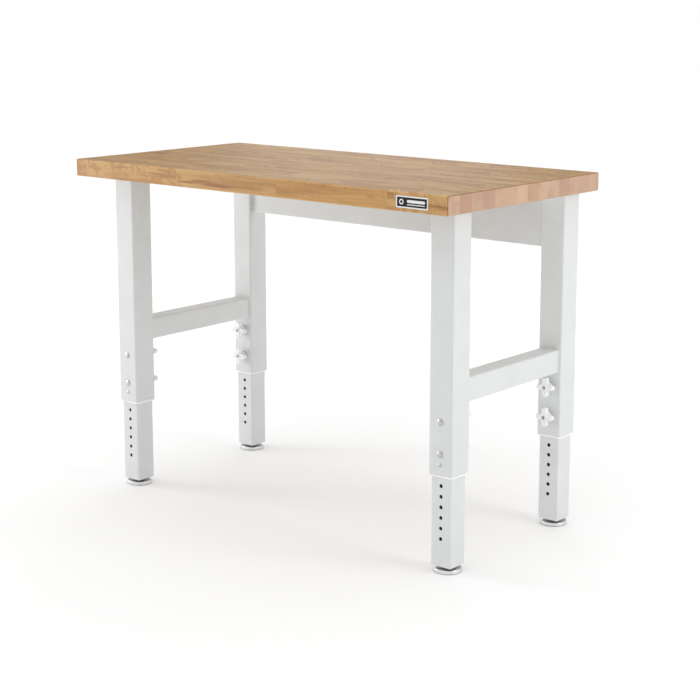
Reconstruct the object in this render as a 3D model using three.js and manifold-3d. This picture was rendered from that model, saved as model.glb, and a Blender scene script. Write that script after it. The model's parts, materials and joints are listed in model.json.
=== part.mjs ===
// A height-adjustable workbench: a butcher-block top on four telescoping square legs.
// Each leg is an upper tube welded to its side rail, and a lower tube that slides inside it
// and is held by two carriage bolts with cross-shaped hand knobs, one hole pitch per step.
// Millimetres, +Z up, +X along the front edge to the right, +Y to the back.
// The origin is on the floor, under the middle of the top.

import * as THREE from "three";
import { mergeVertices } from "three/addons/utils/BufferGeometryUtils.js";
import Module from "manifold-3d";

const wasm = await Module();
wasm.setup();

// ---- Driving dimensions ----

const TOP_LENGTH = 1219;
const TOP_WIDTH = 610;
const TOP_THICKNESS = 44.5;
const TOP_EDGE_RADIUS = 3;
const BENCH_HEIGHT = 895;

const UPPER_TUBE = 67;
const UPPER_WALL = 2.5;
const LOWER_TUBE = 57;
const LOWER_WALL = 2;
const SIDE_OVERHANG = 48;
const FRONT_OVERHANG = 89;
const REAR_OVERHANG = 8;
const UPPER_BOTTOM = 237;
const LOWER_BOTTOM = 16;

const HOLE_PITCH = 25.4;
const HOLE_DIAMETER = 9.4;
const TOP_BOLT_Z = 362.5;
const BOLT_SPACING = 3 * HOLE_PITCH;
const INDEX_SPACING = 4 * HOLE_PITCH;
const HOLES_ABOVE_TOP_BOLT = 5;
const HOLES_BELOW_TOP_BOLT = 11;

const RAIL_WIDTH = 51;
const RAIL_HEIGHT = 58;
const RAIL_TOP_Z = 458;
const RAIL_WALL = 2;

const APRON_HEIGHT = 142;
const APRON_THICKNESS = 1.5;
const APRON_FLANGE = 22;
const APRON_END_GAP = 1;
const TOP_PLATE_THICKNESS = 4;

const BOLT_DIAMETER = 8;
const BOLT_HEAD_DIAMETER = 17;
const BOLT_HEAD_HEIGHT = 3.2;
const BOLT_NECK = 8;
const BOLT_NECK_LENGTH = 3.6;
const INDEX_HEAD_DIAMETER = 10;
const INDEX_HEAD_HEIGHT = 2.2;
const INDEX_LENGTH = 9;

const WASHER_DIAMETER = 22;
const WASHER_THICKNESS = 1.8;
const KNOB_SPAN = 48;
const KNOB_LOBE_WIDTH = 14;
const KNOB_LOBE_THICKNESS = 13;
const KNOB_BOSS_DIAMETER = 25;
const KNOB_FACE_STEP = 2;
const KNOB_HEIGHT = 22;
const KNOB_BORE = 9;
const BOLT_REACH_IN_KNOB = 15;

const FOOT_DIAMETER = 68;
const FOOT_RIM_HEIGHT = 8.5;
const FOOT_HEIGHT = 13;
const FOOT_CROWN_DIAMETER = 30;
const STUD_DIAMETER = 10;
const STUD_LENGTH = 48;
const INSERT_HEIGHT = 14;

const BADGE_LENGTH = 89;
const BADGE_HEIGHT = 27;
const BADGE_THICKNESS = 1.2;
const BADGE_FROM_END = 54;

const GAP = 0.3;
const ROUND_SIDES = 12;
const FOOT_SIDES = 20;
const LEG_HOLE_SIDES = 8;

// ---- Places worked out from them ----

const TOP_UNDERSIDE = BENCH_HEIGHT - TOP_THICKNESS;
const UPPER_TOP = TOP_UNDERSIDE - TOP_PLATE_THICKNESS - 2 * GAP;
const LEG_X = TOP_LENGTH / 2 - SIDE_OVERHANG - UPPER_TUBE / 2;
const FRONT_LEG_Y = -TOP_WIDTH / 2 + FRONT_OVERHANG + UPPER_TUBE / 2;
const REAR_LEG_Y = TOP_WIDTH / 2 - REAR_OVERHANG - UPPER_TUBE / 2;
const LOWER_TOP = TOP_BOLT_Z + (HOLES_ABOVE_TOP_BOLT + 1) * HOLE_PITCH;

// The bolts go in from the outer face of each leg, so their knobs face the middle of the bench.
const LEGS = [
  { name: "front_left", x: -LEG_X, y: FRONT_LEG_Y, inward: 1 },
  { name: "front_right", x: LEG_X, y: FRONT_LEG_Y, inward: 1 },
  { name: "rear_left", x: -LEG_X, y: REAR_LEG_Y, inward: -1 },
  { name: "rear_right", x: LEG_X, y: REAR_LEG_Y, inward: -1 },
];
const BOLTS = [
  { name: "upper", z: TOP_BOLT_Z },
  { name: "lower", z: TOP_BOLT_Z - BOLT_SPACING },
];
const INDEX_Z = TOP_BOLT_Z - INDEX_SPACING;
const BADGE_X = TOP_LENGTH / 2 - BADGE_FROM_END - BADGE_LENGTH / 2;
const BADGE_Z = TOP_UNDERSIDE + TOP_THICKNESS / 2;

// ---- Materials ----

const paint = () => new THREE.MeshStandardMaterial({ color: 0xe9eaea, roughness: 0.55, metalness: 0.1 });
const wood = () => new THREE.MeshStandardMaterial({ color: 0xc6985f, roughness: 0.5, metalness: 0 });
const steel = () => new THREE.MeshStandardMaterial({ color: 0xb9babb, roughness: 0.25, metalness: 1 });
const whitePlastic = () => new THREE.MeshStandardMaterial({ color: 0xf1f1ef, roughness: 0.4, metalness: 0 });
const blackPlastic = () => new THREE.MeshStandardMaterial({ color: 0x1b1b1c, roughness: 0.4, metalness: 0 });

// ---- Solids: closed meshes, joined and cut ----

function solid(geometry) {
  const plain = geometry.clone();
  plain.deleteAttribute("normal");
  plain.deleteAttribute("uv");
  const merged = mergeVertices(plain, 1e-4);
  const mesh = new wasm.Mesh({
    numProp: 3,
    vertProperties: new Float32Array(merged.attributes.position.array),
    triVerts: new Uint32Array(merged.index.array),
  });
  return new wasm.Manifold(mesh);
}

function toGeometry(body) {
  const mesh = body.getMesh();
  const geometry = new THREE.BufferGeometry();
  geometry.setAttribute("position", new THREE.BufferAttribute(new Float32Array(mesh.vertProperties), 3));
  geometry.setIndex(new THREE.BufferAttribute(new Uint32Array(mesh.triVerts), 1));
  return geometry;
}

function box(sizeX, sizeY, sizeZ, x = 0, y = 0, z = 0) {
  return solid(new THREE.BoxGeometry(sizeX, sizeY, sizeZ).translate(x, y, z));
}

// A prism along Z from z = 0, of a shape drawn in the XY plane.
function prism(shape, height, curveSegments = 3) {
  return solid(new THREE.ExtrudeGeometry(shape, { depth: height, bevelEnabled: false, curveSegments }));
}

// A round body on the Z axis, from [radius, z] points that start and end on the axis.
function turned(profile, sides = ROUND_SIDES) {
  const points = profile.map(([r, z]) => new THREE.Vector2(r, z));
  return solid(new THREE.LatheGeometry(points, sides).rotateX(Math.PI / 2));
}

// A straight round bar on the Z axis between two heights.
function bar(diameter, from, to, sides = ROUND_SIDES) {
  return turned([[0, from], [diameter / 2, from], [diameter / 2, to], [0, to]], sides);
}

// Turns a body made along +Z so that it points along +Y (direction 1) or -Y (direction -1).
function alongY(body, direction) {
  return body.rotate([-90 * direction, 0, 0]);
}

function roundedRectangle(width, depth, radius) {
  const shape = new THREE.Shape();
  const [w, d] = [width / 2, depth / 2];
  shape.moveTo(-w + radius, -d);
  shape.lineTo(w - radius, -d);
  shape.absarc(w - radius, -d + radius, radius, -Math.PI / 2, 0);
  shape.lineTo(w, d - radius);
  shape.absarc(w - radius, d - radius, radius, 0, Math.PI / 2);
  shape.lineTo(-w + radius, d);
  shape.absarc(-w + radius, d - radius, radius, Math.PI / 2, Math.PI);
  shape.lineTo(-w, -d + radius);
  shape.absarc(-w + radius, -d + radius, radius, Math.PI, Math.PI * 1.5);
  shape.closePath();
  return shape;
}

// A square tube standing along Z, with rounded outer and inner corners.
function squareTube(size, wall, height) {
  const outer = prism(roundedRectangle(size, size, 2 * wall), height, 2);
  const inner = prism(roundedRectangle(size - 2 * wall, size - 2 * wall, wall), height + 2, 2);
  return outer.subtract(inner.translate([0, 0, -1]));
}

// ---- Sub-parts ----

// The slab of glued staves. Its long arrises are eased, and the name plate has a shallow pocket.
function worktop() {
  const face = new THREE.Shape();
  const [w, t, r] = [TOP_WIDTH / 2, TOP_THICKNESS, TOP_EDGE_RADIUS];
  face.moveTo(-w, r);
  face.lineTo(-w + r, 0);
  face.lineTo(w - r, 0);
  face.lineTo(w, r);
  face.lineTo(w, t - r);
  face.absarc(w - r, t - r, r, 0, Math.PI / 2);
  face.lineTo(-w + r, t);
  face.absarc(-w + r, t - r, r, Math.PI / 2, Math.PI);
  face.closePath();
  // The section is drawn as (y, z), so it is turned to stand and run along X.
  const slab = prism(face, TOP_LENGTH)
    .rotate([90, 0, 90])
    .translate([-TOP_LENGTH / 2, 0, TOP_UNDERSIDE]);
  const pocketDepth = BADGE_THICKNESS + GAP;
  return slab.subtract(box(BADGE_LENGTH + 2 * GAP, 2 * pocketDepth, BADGE_HEIGHT + 2 * GAP,
    BADGE_X, -TOP_WIDTH / 2, BADGE_Z));
}

// The upper tube: square holes on the outer face hold the bolts' necks, and round ones the shafts.
function upperLeg(leg) {
  let body = squareTube(UPPER_TUBE, UPPER_WALL, UPPER_TOP - UPPER_BOTTOM).translate([0, 0, UPPER_BOTTOM]);
  const outerFace = (-leg.inward * UPPER_TUBE) / 2;
  const neckHole = BOLT_NECK + 2 * GAP;
  for (const bolt of BOLTS) {
    body = body.subtract(box(neckHole, 2 * UPPER_WALL + 2, neckHole, 0, outerFace, bolt.z));
    const shaftHole = alongY(bar(HOLE_DIAMETER, 0, UPPER_TUBE), leg.inward);
    body = body.subtract(shaftHole.translate([0, 0, bolt.z]));
  }
  const indexHole = alongY(bar(HOLE_DIAMETER, -UPPER_TUBE, 0), leg.inward);
  body = body.subtract(indexHole.translate([0, 0, INDEX_Z]));
  return body.translate([leg.x, leg.y, 0]);
}

// The lower tube, with a column of holes through its front and back walls.
function lowerLeg(leg) {
  let body = squareTube(LOWER_TUBE, LOWER_WALL, LOWER_TOP - LOWER_BOTTOM).translate([0, 0, LOWER_BOTTOM]);
  for (let k = -HOLES_ABOVE_TOP_BOLT; k <= HOLES_BELOW_TOP_BOLT; k += 1) {
    const hole = alongY(bar(HOLE_DIAMETER, -LOWER_TUBE, LOWER_TUBE, LEG_HOLE_SIDES), 1);
    body = body.subtract(hole.translate([0, 0, TOP_BOLT_Z - k * HOLE_PITCH]));
  }
  return body.translate([leg.x, leg.y, 0]);
}

// The plastic bushing in the upper tube's mouth: a thin sleeve with a rim under the tube.
function legGuide(leg) {
  const rimHeight = 5;
  const sleeveHeight = 14;
  const opening = LOWER_TUBE + 2 * GAP;
  const sleeve = UPPER_TUBE - 2 * UPPER_WALL - 2 * GAP;
  const rim = prism(roundedRectangle(UPPER_TUBE, UPPER_TUBE, 2 * UPPER_WALL), rimHeight, 1);
  const spigot = prism(roundedRectangle(sleeve, sleeve, 2 * UPPER_WALL), sleeveHeight + rimHeight, 1);
  const mouth = prism(roundedRectangle(opening, opening, LOWER_WALL), sleeveHeight + 2 * rimHeight, 1);
  return rim
    .add(spigot)
    .subtract(mouth.translate([0, 0, -1]))
    .translate([leg.x, leg.y, UPPER_BOTTOM - rimHeight - GAP]);
}

// The welded rectangular tube between the front and rear upper legs.
function sideRail(side) {
  const length = REAR_LEG_Y - FRONT_LEG_Y - UPPER_TUBE - 2 * GAP;
  const middleY = (FRONT_LEG_Y + REAR_LEG_Y) / 2;
  const outer = prism(roundedRectangle(RAIL_WIDTH, RAIL_HEIGHT, 2 * RAIL_WALL), length, 2);
  const inner = prism(
    roundedRectangle(RAIL_WIDTH - 2 * RAIL_WALL, RAIL_HEIGHT - 2 * RAIL_WALL, RAIL_WALL), length + 2, 2);
  return alongY(outer.subtract(inner.translate([0, 0, -1])), 1)
    .translate([side * LEG_X, middleY - length / 2, RAIL_TOP_Z - RAIL_HEIGHT / 2]);
}

// The flat bar that joins a pair of upper legs under the top and takes the top's screws.
function topPlate(side) {
  const length = REAR_LEG_Y - FRONT_LEG_Y + UPPER_TUBE;
  const middleY = (FRONT_LEG_Y + REAR_LEG_Y) / 2;
  const middleZ = TOP_UNDERSIDE - GAP - TOP_PLATE_THICKNESS / 2;
  let plate = box(UPPER_TUBE, length, TOP_PLATE_THICKNESS, side * LEG_X, middleY, middleZ);
  const screwHole = 7;
  for (const along of [-0.3, 0, 0.3]) {
    const hole = bar(screwHole, -TOP_PLATE_THICKNESS, TOP_PLATE_THICKNESS);
    plate = plate.subtract(hole.translate([side * LEG_X, middleY + along * length, middleZ]));
  }
  return plate;
}

// The sheet-steel back panel between the rear legs, with a flange along its top and bottom.
function rearApron() {
  const length = 2 * LEG_X - UPPER_TUBE - 2 * APRON_END_GAP;
  const top = TOP_UNDERSIDE - GAP;
  const frontY = REAR_LEG_Y - UPPER_TUBE / 2 + APRON_FLANGE / 2;
  const web = box(length, APRON_THICKNESS, APRON_HEIGHT, 0, frontY, top - APRON_HEIGHT / 2);
  const flange = (z) => box(length, APRON_FLANGE, APRON_THICKNESS, 0,
    frontY + (APRON_FLANGE - APRON_THICKNESS) / 2, z);
  return web
    .add(flange(top - APRON_THICKNESS / 2))
    .add(flange(top - APRON_HEIGHT + APRON_THICKNESS / 2));
}

// A carriage bolt, from its head on the outer face to its end inside the knob.
function carriageBolt(leg, bolt) {
  const reach = UPPER_TUBE + WASHER_THICKNESS + GAP + BOLT_REACH_IN_KNOB;
  const r = BOLT_HEAD_DIAMETER / 2;
  const head = turned([[0, -BOLT_HEAD_HEIGHT], [0.45 * r, -0.93 * BOLT_HEAD_HEIGHT],
    [0.8 * r, -0.6 * BOLT_HEAD_HEIGHT], [r, -GAP], [0, -GAP]]);
  const shaft = bar(BOLT_DIAMETER, -BOLT_HEAD_HEIGHT / 2, reach);
  const neck = box(BOLT_NECK, BOLT_NECK, BOLT_NECK_LENGTH + 1, 0, 0, BOLT_NECK_LENGTH / 2 - 1);
  const faceY = leg.y - (leg.inward * UPPER_TUBE) / 2;
  return alongY(head.add(shaft).add(neck), leg.inward).translate([leg.x, faceY, bolt.z]);
}

// The locating screw one hole below the bolts: a low head and a plain end in the lower tube's hole.
function indexScrew(leg) {
  const r = INDEX_HEAD_DIAMETER / 2;
  const head = turned([[0, -INDEX_HEAD_HEIGHT], [0.6 * r, -0.85 * INDEX_HEAD_HEIGHT],
    [r, -GAP], [0, -GAP]]);
  const end = bar(BOLT_DIAMETER, -INDEX_HEAD_HEIGHT / 2, INDEX_LENGTH);
  const faceY = leg.y - (leg.inward * UPPER_TUBE) / 2;
  return alongY(head.add(end), leg.inward).translate([leg.x, faceY, INDEX_Z]);
}

function washer(leg, bolt) {
  const disc = bar(WASHER_DIAMETER, GAP, GAP + WASHER_THICKNESS);
  const hole = bar(HOLE_DIAMETER, -1, WASHER_THICKNESS + 2);
  const faceY = leg.y + (leg.inward * UPPER_TUBE) / 2;
  return alongY(disc.subtract(hole), leg.inward).translate([leg.x, faceY, bolt.z]);
}

// A cross of two round-ended bars, drawn about the origin.
function crossShape() {
  const shape = new THREE.Shape();
  const half = KNOB_LOBE_WIDTH / 2;
  const arm = KNOB_SPAN / 2 - half;
  const turn = Math.PI / 2;
  for (let lobe = 0; lobe < 4; lobe += 1) {
    const angle = lobe * turn;
    const [c, s] = [Math.cos(angle), Math.sin(angle)];
    shape.absarc(arm * c, arm * s, half, angle - turn, angle + turn);
    shape.lineTo(half * (c - s), half * (s + c));
  }
  shape.closePath();
  return shape;
}

// A moulded hand knob: a boss on the washer's side, four lobes, and a bore right through.
function knob(leg, bolt) {
  const start = 2 * GAP + WASHER_THICKNESS;
  const end = start + KNOB_HEIGHT;
  const lobeStart = end - KNOB_LOBE_THICKNESS - KNOB_FACE_STEP;
  const lobes = prism(crossShape(), KNOB_LOBE_THICKNESS, 4).translate([0, 0, lobeStart]);
  const boss = bar(KNOB_BOSS_DIAMETER, start, end);
  const bore = bar(KNOB_BORE, start - 1, end + 1);
  const faceY = leg.y + (leg.inward * UPPER_TUBE) / 2;
  return alongY(lobes.add(boss).subtract(bore), leg.inward).translate([leg.x, faceY, bolt.z]);
}

// The plug welded into the lower tube's end, bored for the foot's stud.
function footInsert(leg) {
  const size = LOWER_TUBE - 2 * LOWER_WALL - 2 * GAP;
  const plug = prism(roundedRectangle(size, size, LOWER_WALL), INSERT_HEIGHT, 2);
  const bore = bar(STUD_DIAMETER + 1, -1, INSERT_HEIGHT + 1);
  return plug.subtract(bore).translate([leg.x, leg.y, LOWER_BOTTOM + 1]);
}

// The levelling screw, standing on a small collar in the foot's socket.
function footStud(leg) {
  const collar = 18;
  const collarHeight = 2.4;
  const bottom = FOOT_HEIGHT + GAP;
  const lower = bar(collar, bottom, bottom + collarHeight - GAP);
  const shank = bar(STUD_DIAMETER, bottom, bottom + STUD_LENGTH);
  return lower.add(shank).translate([leg.x, leg.y, 0]);
}

// The domed steel foot, flat underneath.
function footCup(leg) {
  const r = FOOT_DIAMETER / 2;
  const crown = FOOT_CROWN_DIAMETER / 2;
  const dome = turned([[0, 0], [r - 1.5, 0], [r, 1.5], [r, FOOT_RIM_HEIGHT],
    [0.96 * r, FOOT_RIM_HEIGHT + 1.8], [0.85 * r, FOOT_HEIGHT - 1.2],
    [crown, FOOT_HEIGHT], [0, FOOT_HEIGHT]], FOOT_SIDES);
  return dome.translate([leg.x, leg.y, 0]);
}

// The blank name plate, flush in the front edge near the right-hand end.
function badgePlate() {
  const cornerRadius = 2;
  const plate = prism(roundedRectangle(BADGE_LENGTH, BADGE_HEIGHT, cornerRadius), BADGE_THICKNESS, 2);
  return alongY(plate, 1).translate([BADGE_X, -TOP_WIDTH / 2, BADGE_Z]);
}

// ---- Assembly ----

const bench = new THREE.Group();

function place(name, body, material) {
  const mesh = new THREE.Mesh(toGeometry(body), material());
  mesh.name = name;
  bench.add(mesh);
}

place("worktop", worktop(), wood);
place("badge_plate", badgePlate(), blackPlastic);
place("rear_apron", rearApron(), paint);
for (const [name, side] of [["left", -1], ["right", 1]]) {
  place(`side_rail_${name}`, sideRail(side), paint);
  place(`top_plate_${name}`, topPlate(side), paint);
}
for (const leg of LEGS) {
  place(`upper_leg_${leg.name}`, upperLeg(leg), paint);
  place(`leg_guide_${leg.name}`, legGuide(leg), whitePlastic);
  place(`lower_leg_${leg.name}`, lowerLeg(leg), paint);
  place(`foot_insert_${leg.name}`, footInsert(leg), steel);
  place(`foot_stud_${leg.name}`, footStud(leg), steel);
  place(`foot_cup_${leg.name}`, footCup(leg), steel);
  place(`index_screw_${leg.name}`, indexScrew(leg), steel);
  for (const bolt of BOLTS) {
    const where = `${leg.name}_${bolt.name}`;
    place(`carriage_bolt_${where}`, carriageBolt(leg, bolt), steel);
    place(`washer_${where}`, washer(leg, bolt), steel);
    place(`knob_${where}`, knob(leg, bolt), whitePlastic);
  }
}

export default bench;
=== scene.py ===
# Looks for a height-adjustable workbench: a butcher-block top on four telescoping steel legs.
# Metres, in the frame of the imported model, whose boxes give every place and size.

import json
import math

import bmesh
import bpy
from mathutils import Matrix, Vector

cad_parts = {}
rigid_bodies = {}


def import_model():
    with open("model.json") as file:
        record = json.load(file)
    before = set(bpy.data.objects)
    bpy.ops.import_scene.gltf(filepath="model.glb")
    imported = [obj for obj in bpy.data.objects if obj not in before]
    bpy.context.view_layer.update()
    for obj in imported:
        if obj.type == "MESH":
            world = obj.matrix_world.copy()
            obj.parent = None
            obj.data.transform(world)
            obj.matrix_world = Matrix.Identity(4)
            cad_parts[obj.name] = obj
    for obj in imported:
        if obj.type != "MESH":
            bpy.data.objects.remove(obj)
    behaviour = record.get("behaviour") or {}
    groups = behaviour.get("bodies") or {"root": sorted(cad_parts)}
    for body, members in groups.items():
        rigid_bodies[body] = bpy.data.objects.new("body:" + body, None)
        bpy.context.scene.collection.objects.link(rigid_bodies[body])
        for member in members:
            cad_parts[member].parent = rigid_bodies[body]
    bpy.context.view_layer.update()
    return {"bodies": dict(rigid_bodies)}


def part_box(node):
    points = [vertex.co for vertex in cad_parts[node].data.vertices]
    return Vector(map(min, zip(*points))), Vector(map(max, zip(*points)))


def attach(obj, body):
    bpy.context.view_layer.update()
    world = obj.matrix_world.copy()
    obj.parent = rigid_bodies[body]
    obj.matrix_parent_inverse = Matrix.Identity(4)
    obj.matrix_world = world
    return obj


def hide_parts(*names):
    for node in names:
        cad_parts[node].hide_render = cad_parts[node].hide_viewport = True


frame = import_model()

MM = 0.001
TURN = 2 * math.pi

LEGS = ("front_left", "front_right", "rear_left", "rear_right")
LEVELS = ("upper", "lower")
SIDES = ("left", "right")

STAVES = 14                 # glued side by side across the top
BOARD_PICK = 2776.0         # seeds the lengths and tones of the staves' boards
HOLES_IN_LOWER_LEG = 17
ROUND_POINTS = 48           # points round a turned piece
BORE_POINTS = 32            # points round a drilled hole
FOOT_POINTS = 96
KNOB_POINTS = 128
CORNER_STEPS = 6            # facets in a tube's rounded corner

# How bright the room is towards each of its sides, by axis and sign.
ROOM = {("X", 1.0): 0.03, ("X", -1.0): 0.40, ("Y", 1.0): 0.45, ("Y", -1.0): 0.56, ("Z", 1.0): 1.47}

# Each softbox: its name, place, target, width and power in watts.
SOFTBOXES = (
    ("rear_softbox", (-2.5, 3.2, 1.5), (-0.1, 0.2, 0.86), 1.6, 8.0),
    ("left_softbox", (-3.6, -1.6, 0.9), (0.0, 0.0, 0.6), 1.6, 48.0),
    ("right_softbox", (3.4, 0.6, 1.4), (0.5, 0.0, 0.5), 1.8, 32.0),
)

FLOOR_HALF = 20.0           # half the floor's width
FLOOR_SHADE = 0.8
FLOOR_GLOW_DISTANCE = (1.0, 3.0)
FLOOR_GLOW = (0.18, 0.29)   # the floor's own light at those distances from its middle

# The photo's viewing angle: place, dip below level and heading in radians, and lens in millimetres.
CAMERA_PLACE = (2.6538, -3.0380, 1.3239)
CAMERA_DIP = 0.1775
CAMERA_HEADING = 0.7038
CAMERA_LENS = 82.35
CAMERA_SHIFT = -0.10


# ---- Measures from the frame ----

def middle(node):
    low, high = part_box(node)
    return (low + high) / 2


def extent(node):
    low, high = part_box(node)
    return high - low


def inward(leg):
    """The Y direction from the leg's bolt heads to its knobs: 1 or -1."""
    return 1 if middle(f"knob_{leg}_upper").y > middle(f"upper_leg_{leg}").y else -1


def leg_face(leg, way):
    """The Y of an upper leg's face: the inner one, with the knobs, for way 1, and the outer for -1."""
    node = f"upper_leg_{leg}"
    return middle(node).y + way * inward(leg) * extent(node).y / 2


def bolt_height(leg, level):
    return middle(f"washer_{leg}_{level}").z


def reach(node, leg, face_y):
    """Where a node starts and ends along the leg's inward direction, measured from a face."""
    low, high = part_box(node)
    return sorted(inward(leg) * (y - face_y) for y in (low.y, high.y))


HOLES_BETWEEN_BOLTS = 3
HOLE_PITCH = (bolt_height(LEGS[0], "upper") - bolt_height(LEGS[0], "lower")) / HOLES_BETWEEN_BOLTS
HOLE_RADIUS = 4.7 * MM
HOLE_EDGE = 0.35 * MM


# ---- Outlines and loops of points ----

def rounded_rectangle(width, depth, radius):
    """Points, anticlockwise, of a rectangle about the origin with rounded corners."""
    points = []
    for corner, (side_x, side_y) in enumerate(((1, 1), (-1, 1), (-1, -1), (1, -1))):
        for step in range(CORNER_STEPS + 1):
            angle = (corner + step / CORNER_STEPS) * TURN / 4
            x = side_x * (width / 2 - radius) + radius * math.cos(angle)
            y = side_y * (depth / 2 - radius) + radius * math.sin(angle)
            points.append((x, y))
    return points


def box_loop(width, depth, radius, inset, z):
    """A rounded rectangle's loop at height z, drawn in by inset."""
    corner = max(radius - inset, 0.15 * radius)
    outline = rounded_rectangle(width - 2 * inset, depth - 2 * inset, corner)
    return [Vector((x, y, z)) for x, y in outline]


def box_loops(width, depth, radius, stations):
    """Loops at stations, which are pairs of an inset and a height."""
    return [box_loop(width, depth, radius, inset, z) for inset, z in stations]


def round_loop(radius, z, points=ROUND_POINTS):
    """A loop about the Z axis. The radius is a number, or a function of the angle."""
    loop = []
    for index in range(points):
        angle = TURN * index / points
        r = radius(angle) if callable(radius) else radius
        loop.append(Vector((r * math.cos(angle), r * math.sin(angle), z)))
    return loop


def round_loops(stations, points=ROUND_POINTS):
    """Loops at stations, which are pairs of a radius and a height."""
    return [round_loop(radius, z, points) for radius, z in stations]


def tube_loops(width, depth, radius, wall, low, high):
    """Loops of a rectangular tube on Z: up its outside, over its eased end, and down its inside."""
    ease = 0.4 * MM
    stations = [(0, low + ease), (0, high - ease), (ease, high), (wall - ease, high),
                (wall, high - ease), (wall, low + ease), (wall - ease, low), (ease, low)]
    return box_loops(width, depth, radius, stations)


TUBE_INSIDE = (4,)          # the band of tube_loops that is the inner wall


def quarter_turns(steps):
    """Angles from 0 to a right angle, in so many steps."""
    return [TURN / 4 * step / steps for step in range(steps + 1)]


def slab_loops(width, depth, low, high, ease, steps=4):
    """Loops of a slab on Z with all its arrises rounded."""
    turns = quarter_turns(steps)
    stations = [(ease * (1 - math.sin(turn)), low + ease * (1 - math.cos(turn))) for turn in turns]
    stations += [(ease * (1 - math.cos(turn)), high - ease * (1 - math.sin(turn))) for turn in turns]
    return box_loops(width, depth, ease, stations)


def thread_loops(radius, pitch, low, high):
    """Loops of a screw thread on Z, which runs out at both ends."""
    depth = 0.61 * pitch        # as metric threads have
    runout = 0.2 * depth
    rows_per_pitch = 8
    loops = []
    count = round((high - low) / pitch * rows_per_pitch)
    for row in range(count + 1):
        z = low + (high - low) * row / count
        fade = min(1, (z - low) / pitch, (high - z) / pitch)

        def thread(angle, z=z, fade=fade):
            phase = TURN * z / pitch - angle
            return radius - depth * (0.5 - 0.5 * math.cos(phase)) * fade - runout * (1 - fade)

        loops.append(round_loop(thread, z))
    return loops


def hexagon(across_flats):
    """The radius of a hexagon as a function of the angle."""
    def radius(angle):
        return across_flats / 2 / math.cos(angle % (TURN / 6) - TURN / 12)
    return radius


def square(width, corner_cut=0.97):
    """The radius of a square as a function of the angle, with its corners cut a little."""
    def radius(angle):
        flat = width / 2 / max(abs(math.cos(angle)), abs(math.sin(angle)))
        return min(flat, corner_cut * width / math.sqrt(2))
    return radius


def moved(loops, matrix):
    return [[matrix @ point for point in loop] for loop in loops]


# ---- Meshes ----

class Shape:
    """Closed bodies gathered into one mesh."""

    def __init__(self):
        self.mesh = bmesh.new()

    def skin(self, loops, ring=False, second=(), material=0):
        """Adds a body that runs through loops of equal length. Its ends are capped, or joined in a ring.
        Bands whose numbers are in second take the material after this one."""
        rows = [[self.mesh.verts.new(point) for point in loop] for loop in loops]
        bands = list(zip(rows, rows[1:]))
        if ring:
            bands.append((rows[-1], rows[0]))
        for number, (one, other) in enumerate(bands):
            for here in range(len(one)):
                there = (here + 1) % len(one)
                face = self.mesh.faces.new((one[here], one[there], other[there], other[here]))
                face.material_index = material + int(number in second)
        if not ring:
            for cap in (reversed(rows[0]), rows[-1]):
                self.mesh.faces.new(cap).material_index = material
        return self

    def drill(self, x, z, radius, from_y, to_y):
        """Adds a round rod along Y, to cut a hole with."""
        along_y = Matrix.Rotation(-TURN / 4, 4, "X")
        loops = round_loops([(radius, from_y), (radius, to_y)], BORE_POINTS)
        return self.skin(moved(loops, Matrix.Translation((x, 0, z)) @ along_y))

    def block(self, low, high):
        """Adds a plain block, to cut a pocket with."""
        size, centre = high - low, (low + high) / 2
        outline = ((1, 1), (-1, 1), (-1, -1), (1, -1))
        loops = [[Vector((centre.x + x * size.x / 2, centre.y + y * size.y / 2, z)) for x, y in outline]
                 for z in (low.z, high.z)]
        return self.skin(loops)

    def made(self, name):
        """The finished mesh as a new object."""
        bmesh.ops.recalc_face_normals(self.mesh, faces=self.mesh.faces)
        data = bpy.data.meshes.new(name)
        self.mesh.to_mesh(data)
        self.mesh.free()
        obj = bpy.data.objects.new(name, data)
        bpy.context.scene.collection.objects.link(obj)
        return obj


def apply_modifiers(obj):
    depsgraph = bpy.context.evaluated_depsgraph_get()
    obj.data = bpy.data.meshes.new_from_object(obj.evaluated_get(depsgraph))
    obj.modifiers.clear()


def round_edges(obj, width, sharpest):
    """Rounds the edges where faces meet at more than an angle in degrees."""
    bevel = obj.modifiers.new("edge", "BEVEL")
    bevel.width = width
    bevel.segments = 2
    bevel.limit_method = "ANGLE"
    bevel.angle_limit = math.radians(sharpest)


def cut(obj, tool_shape, edge=0.0):
    """Cuts a shape's bodies out of obj, and rounds the new edges by edge."""
    tool = tool_shape.made("tool")
    modifier = obj.modifiers.new("cut", "BOOLEAN")
    modifier.object = tool
    modifier.operation = "DIFFERENCE"
    modifier.solver = "EXACT"
    if edge:
        round_edges(obj, edge, 70)
    apply_modifiers(obj)
    bpy.data.objects.remove(tool)


def finish_piece(obj, body, materials, replaces=(), sharp=35):
    """Gives a piece its shading, materials and body, and hides the parts it replaces."""
    for material in materials:
        obj.data.materials.append(material)
    obj.data.polygons.foreach_set("use_smooth", [True] * len(obj.data.polygons))
    obj.data.set_sharp_from_angle(angle=math.radians(sharp))
    normals = obj.modifiers.new("even_normals", "WEIGHTED_NORMAL")
    normals.keep_sharp = True
    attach(obj, body)
    if replaces:
        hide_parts(*replaces)


def at(spot, z=0.0, turn=0.0):
    """The matrix that moves a piece made about the Z axis to a spot, at a height, turned about Z."""
    return Matrix.Translation((spot.x, spot.y, z)) @ Matrix.Rotation(turn, 4, "Z")


def stand_at(obj, leg, face_y, z):
    """Turns a piece made along +Z so that it points along the leg's inward direction, from a face."""
    obj.location = (middle(f"upper_leg_{leg}").x, face_y, z)
    obj.rotation_euler = (-inward(leg) * TURN / 4, 0, 0)


# ---- Materials ----

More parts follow.
